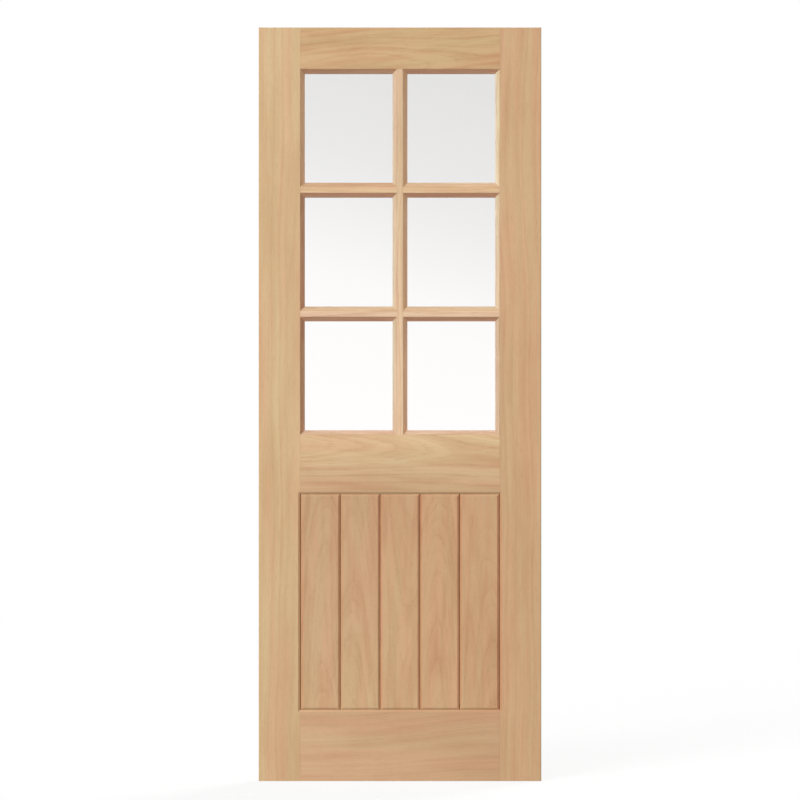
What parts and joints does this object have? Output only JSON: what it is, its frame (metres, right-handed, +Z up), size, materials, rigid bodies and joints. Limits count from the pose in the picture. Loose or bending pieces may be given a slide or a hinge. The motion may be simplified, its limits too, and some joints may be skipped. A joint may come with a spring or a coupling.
{
  "type": "half-glazed panelled door leaf",
  "caption": "Rectangular oak door leaf: stiles and rails hold beaded clear panes in the upper part and a panel of upright V-jointed boards below.",
  "frame": {"origin": "middle of the leaf's bottom edge", "axes": "+Z up the leaf, +X across its width to the right seen from the front, +Y through its thickness to the back"},
  "size_m": [0.762, 0.035, 2.032],
  "materials": {
    "oak_frame": "clear satin oil",
    "oak_beads": "clear satin oil",
    "oak_boards": "clear satin oil",
    "pane_glass": "clear polished",
    "glazing_tape": "matt",
    "block_plastic": "matt",
    "dowel_wood": "bare"
  },
  "bodies": {
    "root": {"left_stile": "oak_frame", "right_stile": "oak_frame", "top_rail": "oak_frame", "lock_rail": "oak_frame", "bottom_rail": "oak_frame", "vertical_glazing_bar": "oak_frame", "upper_glazing_bar": "oak_frame", "lower_glazing_bar": "oak_frame", "front_bead_top_left": "oak_beads", "front_bead_top_right": "oak_beads", "front_bead_middle_left": "oak_beads", "front_bead_middle_right": "oak_beads", "front_bead_bottom_left": "oak_beads", "front_bead_bottom_right": "oak_beads", "back_bead_top_left": "oak_beads", "back_bead_top_right": "oak_beads", "back_bead_middle_left": "oak_beads", "back_bead_middle_right": "oak_beads", "back_bead_bottom_left": "oak_beads", "back_bead_bottom_right": "oak_beads", "board_1": "oak_boards", "board_2": "oak_boards", "board_3": "oak_boards", "board_4": "oak_boards", "board_5": "oak_boards", "pane_top_left": "pane_glass", "pane_top_right": "pane_glass", "pane_middle_left": "pane_glass", "pane_middle_right": "pane_glass", "pane_bottom_left": "pane_glass", "pane_bottom_right": "pane_glass", "front_glazing_tapes": "glazing_tape", "back_glazing_tapes": "glazing_tape", "setting_blocks": "block_plastic", "top_rail_dowels": "dowel_wood", "lock_rail_dowels": "dowel_wood", "bottom_rail_dowels": "dowel_wood", "glazing_bar_dowels": "dowel_wood"}
  },
  "joints": []
}
